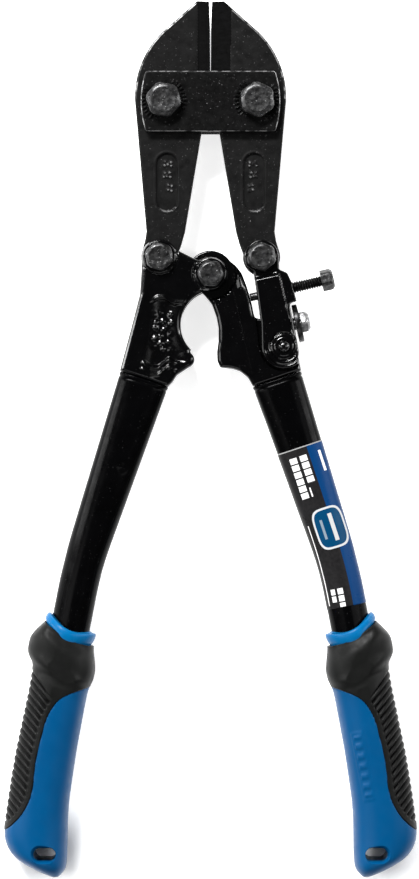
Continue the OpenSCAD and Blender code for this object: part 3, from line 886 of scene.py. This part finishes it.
def spine(s):
    """Point on the right tube's centre line at distance s from the head, and the line's direction there."""
    t = np.clip((s - UPPER_LEN + BEND_EASE) / (2 * BEND_EASE), 0, 1)
    direction = UPPER * (1 - t) + LOWER * t
    direction = direction / np.hypot(*direction)
    if s <= UPPER_LEN - BEND_EASE:
        at = TUBE_TOP + UPPER * s
    elif s >= UPPER_LEN + BEND_EASE:
        at = TUBE_BEND + LOWER * (s - UPPER_LEN)
    else:
        a, b = TUBE_BEND - UPPER * BEND_EASE, TUBE_BEND + LOWER * BEND_EASE
        at = a * (1 - t) ** 2 + TUBE_BEND * 2 * t * (1 - t) + b * t ** 2
    return at, direction


def tube_point(s, turn, grow=0.0):
    """Point on the tube, which is flattened at the head. Turn 0 is the outer side, 90 degrees the front."""
    at, direction = spine(s)
    flat = max(0.0, 1 - s / UPPER_LEN)
    half_w = TUBE_R + 2.2 * flat + grow
    half_d = TUBE_R - 0.4 * flat + grow
    power = 2 / (2 + 0.9 * flat)
    c, d = math.cos(turn), math.sin(turn)
    across = half_w * math.copysign(abs(c) ** power, c)
    depth = half_d * math.copysign(abs(d) ** power, d)
    side = np.array([-direction[1], direction[0]])
    x, y = at + side * across
    return x, y, MID + depth


def tube(side):
    """Bent tube with a rolled lip at the head, and on the left one a small dimple."""
    length, cols = UPPER_LEN + LOWER_LEN, 96
    lip = [(0.1, -0.25), (0.25, 0.0), (0.6, 0.12), (1.1, 0.12), (1.5, -0.1), (1.8, -0.28), (2.1, -0.1),
           (2.6, 0.0)]
    stops = lip + [(s, 0.0) for s in np.arange(3.4, length, 0.8)]

    def point(i, j):
        s, grow = stops[i]
        turn = 2 * math.pi * j / cols
        x, y, z = tube_point(s, turn, grow)
        if side == "left" and math.sin(turn) > 0:
            z -= 0.9 * math.exp(-((x - DIMPLE[0]) ** 2 + (y - DIMPLE[1]) ** 2) / 1.7 ** 2)
        return mirrored(side, (x, y, z))

    verts, faces = skin(len(stops), cols, point)
    node = "tube_" + side
    piece(node + "_look", verts, faces, SATIN, "handle_" + side, (node,), sharp=50)


def label():
    """Printed film wrapped over the front of the right tube, with a UV map in millimetres."""
    start, end, wrap_from, wrap = 28.7, 95.0, -12, 204
    rows, cols = 160, 64
    along = [start + (end - start) * i / (rows - 1) for i in range(rows)]

    def point(i, j):
        return tube_point(along[i], math.radians(wrap_from + wrap * j / (cols - 1)), 0.11)

    verts, faces = skin(rows, cols, point, closed=False, caps=False)
    uv = []
    for i, s in enumerate(along):
        at, direction = spine(s)
        side = np.array([-direction[1], direction[0]])
        for x, y, z in verts[i * cols:(i + 1) * cols]:
            uv.append((float((np.array([x, y]) - at) @ side), s - start))
    obj = piece("tube_label_look", verts, faces, FILM, "handle_right", ("tube_label",), sharp=60, uv=uv)
    film = obj.modifiers.new("film", "SOLIDIFY")
    film.thickness = 0.08 * MM


# ---------------------------------------------------------------- grips

# Outlines of the right grip as (y, x) pairs, and the collar's line as (x, y) pairs.
GRIP_OUTER = ((-69.2, 62.6), (-72.8, 66.2), (-76.8, 70.6), (-79.2, 72.3), (-82.4, 72.6), (-88.4, 71.5),
              (-93.2, 71.4), (-101, 72.8), (-112.7, 75.3), (-124.4, 77.8), (-135.6, 79.7), (-146.8, 81.4),
              (-155.6, 82.5), (-160, 82.3), (-164.4, 80.6), (-168, 77.4), (-171.8, 70.6), (-173.6, 67.0),
              (-174.7, 63.6))
GRIP_INNER = ((-69.2, 60.6), (-72.8, 57.8), (-75.6, 53.0), (-76.8, 48.2), (-80, 46.5), (-84.4, 46.9),
              (-88.4, 46.4), (-92.4, 46.1), (-96, 46.8), (-99.2, 48.4), (-102, 49.3), (-113, 51.4),
              (-124.4, 53.5), (-135.6, 55.2), (-144, 56.4), (-152, 57.0), (-163.6, 57.2), (-170, 57.5),
              (-172.8, 58.2), (-174.7, 60.6))
COVER_EDGE = ((-97.6, 40.0), (-98.4, 45.4), (-99.2, 49.0), (-101.4, 57.8), (-104.8, 61.4), (-110.8, 65.0),
              (-118.4, 67.0), (-128.4, 69.4), (-137.6, 70.2), (-143.4, 71.4), (-149.8, 75.0), (-154.8, 79.8),
              (-157.2, 84.0))
COLLAR_LINE = ((45.5, -82.8), (47.6, -82.7), (53.1, -81.2), (59.2, -78.0), (63.4, -75.0), (66.0, -72.6),
               (68, -70.2))
OUTER, INNER, COVER = eased(GRIP_OUTER), eased(GRIP_INNER), eased(COVER_EDGE, rounds=24)
SEAM = COVER_EDGE[:2] + tuple((y, float(COVER(y))) for y in np.arange(-99.0, -157.2, -1.2))
FOOT_Y = -174.7
RIB_PITCH = 2.2
BOXINESS = 0.86       # below 1, a grip's section is squarer than an ellipse


def grip_surface(y, turn, grow):
    """Points of the right grip as arrays. Turn 0 is the outer side, 90 degrees the front."""
    low, high = INNER(y), OUTER(y)
    end = np.maximum(0, (FOOT_Y + 9 - y) / 9)
    depth = MID * np.sqrt(np.maximum(0.03, 1 - 0.8 * end ** 2.4))
    c, s = np.cos(turn), np.sin(turn)
    x = (low + high) / 2 + ((high - low) / 2 + grow) * np.sign(c) * np.abs(c) ** BOXINESS
    depth = depth - 2.2 * bump(np.minimum(y - collar_y(x), 0), 4.0)
    z = np.clip((depth + grow) * np.sign(s) * np.abs(s) ** BOXINESS, -MID, MID)
    return x, z + MID


def into_cover(x, y):
    """Distance from the seam between the two grip materials, positive inside the black one."""
    ys, xs = zip(*SEAM)
    gap = np.full_like(x, 1e9)
    for a, b in zip(zip(xs, ys), zip(xs[1:], ys[1:])):
        gap = np.minimum(gap, away_from(x, y, a, b))
    return np.where((x > COVER(y)) | (y > COVER_EDGE[0][0]), gap, -gap)


def collar_y(x):
    """Height in y of the line under the collar."""
    xs, ys = zip(*COLLAR_LINE)
    return np.interp(x, xs, ys)


def grip_skin(name, heights, cols, shape, materials, side, node, ends):
    """Ring of the grip from the first height to the last.

    shape gives each point its y, how far it stands out and the number of its material."""
    y, turn = np.meshgrid(heights, np.linspace(0, 2 * np.pi, cols, endpoint=False), indexing="ij")
    x, _ = grip_surface(y, turn, 0.0)
    y, grow, number = shape(x, y, turn)
    x, z = grip_surface(y, turn, grow)

    def point(i, j):
        return mirrored(side, (x[i, j], y[i, j], z[i, j]))

    verts, faces = skin(len(heights), cols, point, caps=ends)
    obj = piece(name, verts, faces, materials[0], "handle_" + side, (node,), sharp=60)
    for item in materials[1:]:
        obj.data.materials.append(item)
    number = number[:-1].ravel()
    for polygon in obj.data.polygons[:len(number)]:
        polygon.material_index = int(number[polygon.index])
    return obj


def grip_core(side):
    """Blue core, sunk where the cover lies over it. The right one has a framed row of plain bars."""
    heights = np.concatenate([np.arange(-96.5, -166, -0.5), np.arange(-166.2, FOOT_Y, -0.3)])

    def bars(x, y, turn):
        along = 0.981 * (-130 - y) + 0.191 * (x - 60.6)
        across = 0.981 * (x - 60.6) + 0.191 * (y + 130)
        far, aside = np.abs(along), np.abs(across)
        panel = smooth(0, 0.5, 14.2 - far) * smooth(0, 0.5, 2.6 - aside) * (np.sin(turn) > 0.3)
        bar = smooth(-0.4, 0.4, np.cos(2 * np.pi * along / 4.0)) * smooth(0, 0.4, 1.6 - aside)
        return 0.16 * panel + 0.3 * panel * bar * smooth(0, 0.4, 12.4 - far)

    def shape(x, y, turn):
        grow = -1.7 * smooth(0.15, 0.7, into_cover(x, y))
        if side == "right":
            grow = grow + bars(x, y, turn)
        return y, grow, np.zeros_like(x)

    node = "grip_core_" + side
    cut_slot(grip_skin(node + "_look", heights, 200, shape, (BLUE,), side, node, True), side)


def cut_slot(obj, side):
    """Cuts the hang slot through a grip, with a rounded rim."""
    half_straight, half_turn = 1.8, np.linspace(-math.pi / 2, math.pi / 2, 17)
    lower = [(-2, 4.6), (0.0, 3.9), (0.8, 3.2), (1.8, 2.8), (3.2, 2.6)]
    levels = lower + [(2 * MID - z, r) for z, r in reversed(lower)]

    def point(i, j):
        z, r = levels[i]
        way = 1 if j < len(half_turn) else -1
        turn = half_turn[j % len(half_turn)]
        x = SLOT[0] + way * (half_straight + r * math.cos(turn))
        return mirrored(side, (x, SLOT[1] + way * r * math.sin(turn), z))

    verts, faces = skin(len(levels), 2 * len(half_turn), point)
    cutter = place_object("slot_cutter", solid(verts, faces))
    cut = obj.modifiers.new("slot", "BOOLEAN")
    cut.operation, cut.object, cut.solver = "DIFFERENCE", cutter, "EXACT"
    bpy.context.view_layer.update()
    done = bpy.data.meshes.new_from_object(obj.evaluated_get(bpy.context.evaluated_depsgraph_get()))
    obj.modifiers.clear()
    obj.data = done
    bpy.data.objects.remove(cutter)
    shade(done, 40)


def grip_cover(side):
    """Black cover with a swelling at its mouth and slanted grooves along its outer side, whose deepest parts
    are painted darker as painted shade.
    """
    def shape(x, y, turn):
        seam = into_cover(x, y)
        at = np.minimum(y, collar_y(x))
        sideways = np.abs(np.where(turn > np.pi, turn - 2 * np.pi, turn))
        field = (smooth(2.0, 2.9, seam) * smooth(-91.2, -92.6, at + 1.45 * (71.1 - x))
                 * smooth(-155.5, -152.5, at) * smooth(0.0, 0.4, 1.9 - sideways))
        wave = 0.5 + 0.5 * np.cos(2 * np.pi * (0.766 * x - 0.643 * at) / RIB_PITCH)
        slant = at + 0.615 * (70.4 - x)
        swell = 0.7 * bump(slant + 86.2, 2.6) - 0.4 * bump(slant + 90.4, 2.2)
        deep = 0.45 + 0.65 * smooth(0.15, 0.8, sideways)
        raised = 0.15 - deep * field * wave ** 1.6 + swell * smooth(1.0, 5.0, seam) - np.minimum(2.6, y - at)
        # The second material paints the deepest parts of the grooves darker: painted shade in the grooves.
        return at, -1.3 + (raised + 1.3) * smooth(-0.25, 0.3, seam), (field * wave > 0.62).astype(int)

    node, heights = "grip_cover_" + side, np.arange(-68.6, -157.6, -0.28)
    grip_skin(node + "_look", heights, 220, shape, (RUBBER, PAINTED_GROOVE_SHADE), side, node, False)


def grip_collar(side):
    """Slanted ring: a rounded band that follows the grip's mouth and sags towards the front and back."""
    cols = 96
    u, v = np.array([0.874, 0.487]), np.array([0.487, -0.874])
    centre, half_width, half_depth, sag = np.array([56.3, -75.9]), 9.9, 10.5, 2.6
    turns = [math.radians(a) for a in range(-20, 201, 11)]
    band = [(-2.1 * math.cos(a), 0.9 * math.sin(a)) for a in turns]
    profile = [(-2.0, -3.2)] + band + [(2.0, -3.2)]

    def point(i, j):
        turn = 2 * math.pi * j / cols
        lift, grow = profile[i]
        c, s = math.cos(turn), math.sin(turn)
        plan = centre + u * (half_width + grow) * c + v * (sag * s * s - 0.3 + lift * (1.12 - 0.28 * c))
        return mirrored(side, (plan[0], plan[1], MID + (half_depth + grow) * s))

    verts, faces = skin(len(profile), cols, point, caps=False)
    node = "grip_collar_" + side
    piece(node + "_look", verts, faces, RING, "handle_" + side, (node,), sharp=60)


# ---------------------------------------------------------------- room

def floor():
    """Plain sheet, 18 m square and just under the tool, that curves up into a low wall far away."""
    half, cols, drop, wall_from, wall = 9.0, 60, -0.0002, 5.5, 1.6

    def point(i, j):
        x = -half + 2 * half * j / (cols - 1)
        y = -half + 2 * half * i / (cols - 1)
        z = drop + min(wall, 0.14 * max(0.0, math.hypot(x, y) - wall_from) ** 2)
        return x / MM, y / MM, z / MM

    obj = place_object("floor", solid(*skin(cols, cols, point, closed=False, caps=False)))
    obj.data.materials.append(floor_look())


def area(name, at, toward, size, power):
    """Rectangular lamp, with places and sizes in metres and its power in watts."""
    data = bpy.data.lights.new(name, "AREA")
    data.shape = "RECTANGLE"
    data.size, data.size_y, data.energy = size[0], size[1], power
    lamp = bpy.data.objects.new(name, data)
    lamp.location = at
    lamp.rotation_euler = (Vector(toward) - Vector(at)).to_track_quat("-Z", "Y").to_euler()
    bpy.context.collection.objects.link(lamp)


def lights():
    """Soft light from the jaws' side, weak fills all round and a narrow strip on each side."""
    area("key_top", (-0.45, 1.05, 1.1), (0, 0, 0), (0.6, 0.25), 52)
    area("fill_left", (-1.15, -0.1, 1.0), (0, 0, 0), (0.4, 1.4), 9)
    area("fill_right", (1.15, 0.1, 1.0), (0, 0, 0), (0.4, 1.4), 6.5)
    area("fill_front", (0.1, -1.15, 1.0), (0, 0, 0), (1.2, 0.4), 3.5)
    area("rim_left", (-1.3, 0.35, 0.4), (0, 0.05, 0), (0.12, 1.2), 15)
    area("rim_right", (1.3, 0.35, 0.5), (0, 0.05, 0), (0.12, 1.0), 9)
    world = bpy.data.worlds.new("studio")
    world.use_nodes = True
    background = world.node_tree.nodes["Background"]
    background.inputs["Color"].default_value = (1, 1, 1, 1)
    background.inputs["Strength"].default_value = 0.06
    bpy.context.scene.world = world
    bpy.context.scene.view_settings.view_transform = "Standard"


def camera():
    """Straight down, head of the tool at the top, with a long lens."""
    data = bpy.data.cameras.new("camera")
    height, view = 1.6, 0.3516
    data.lens = data.sensor_width * (height - MID * MM) / view
    data.clip_end = 30
    cam = bpy.data.objects.new("camera", data)
    cam.location = (-0.0004, -0.0002, height)
    bpy.context.collection.objects.link(cam)
    bpy.context.scene.camera = cam


for which in ("left", "right"):
    jaw(which)
    tube(which)
    grip_core(which)
    grip_cover(which)
    grip_collar(which)
strap()
rework("strap_back", "strap", STRAP, 0.5, 2)
left_head()
right_head()
link()
adjusting_screw()
bolts()
label()
floor()
lights()
camera()
